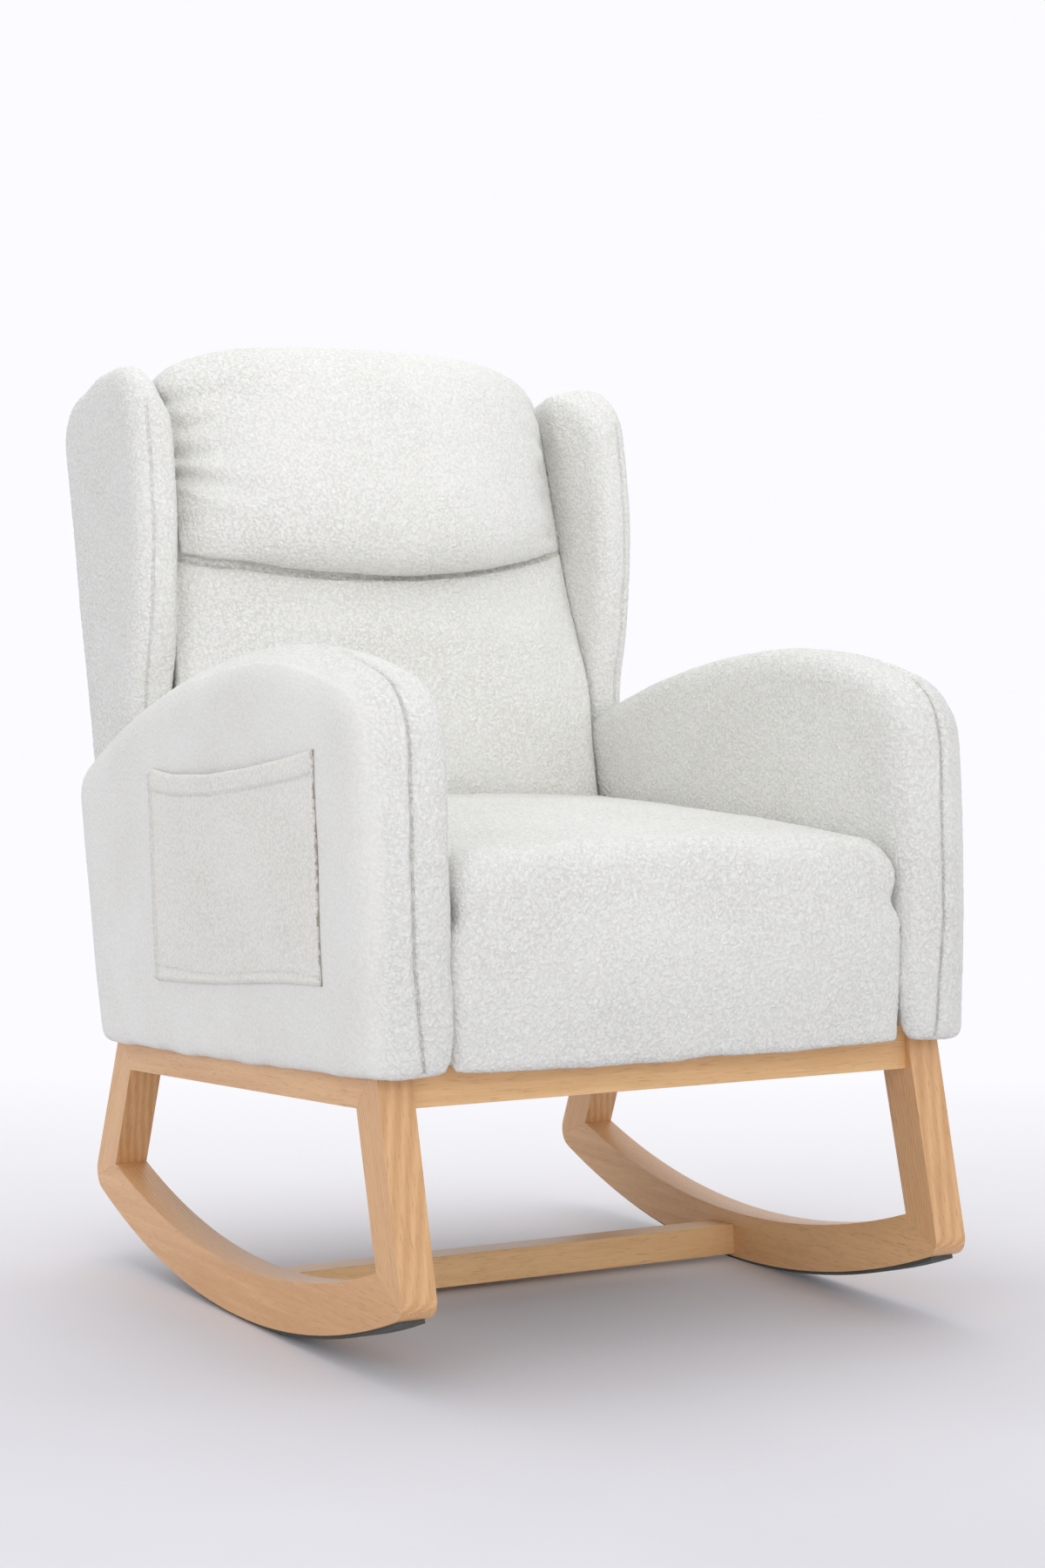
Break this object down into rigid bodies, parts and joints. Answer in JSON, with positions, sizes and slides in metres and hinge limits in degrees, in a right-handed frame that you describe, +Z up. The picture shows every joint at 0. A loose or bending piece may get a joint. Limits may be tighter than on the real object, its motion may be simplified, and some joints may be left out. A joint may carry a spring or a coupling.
{
  "type": "upholstered rocking chair",
  "caption": "Wing-backed rocking chair with a padded body, head pillow and side pocket on a bare wood base with curved runners.",
  "frame": {"origin": "on the floor, below the middle of the chair's box", "axes": "+Z up, -Y the way the sitter faces, +X to the sitter's left"},
  "size_m": [0.6983, 0.8693, 1.027],
  "materials": {
    "boucle": "curly cream boucle, matt, soft nap",
    "side_cloth": "short-napped cream cloth, matt",
    "base_wood": "clear satin varnish on honey-coloured rubberwood",
    "frame_wood": "bare sawn timber",
    "felt": "dark grey-green pressed felt",
    "steel": "plain steel",
    "webbing": "woven elastic webbing",
    "burlap": "coarse jute cloth",
    "dust_cloth": "thin dark non-woven cloth"
  },
  "bodies": {
    "root": {"left_runner": "base_wood", "right_runner": "base_wood", "left_front_leg": "base_wood", "right_front_leg": "base_wood", "left_rear_leg": "base_wood", "right_rear_leg": "base_wood", "left_side_rail": "base_wood", "right_side_rail": "base_wood", "front_apron": "base_wood", "rear_apron": "base_wood", "stretcher": "base_wood", "corner_blocks": "frame_wood", "base_dowels": "frame_wood", "left_felt_strip": "felt", "right_felt_strip": "felt", "body_bolts": "steel", "left_arm_frame": "frame_wood", "right_arm_frame": "frame_wood", "seat_front_rail": "frame_wood", "seat_rear_rail": "frame_wood", "seat_springs": "steel", "spring_clips": "steel", "spring_cover": "burlap", "dust_cover": "dust_cloth", "back_frame": "frame_wood", "back_webbing": "webbing", "left_wing_frame": "frame_wood", "right_wing_frame": "frame_wood", "seat_cushion": "boucle", "back_cushion": "boucle", "head_pillow": "boucle", "outside_back": "side_cloth", "left_arm_pad": "boucle", "right_arm_pad": "boucle", "left_wing_pad": "boucle", "right_wing_pad": "boucle", "side_pocket": "side_cloth"}
  },
  "joints": []
}
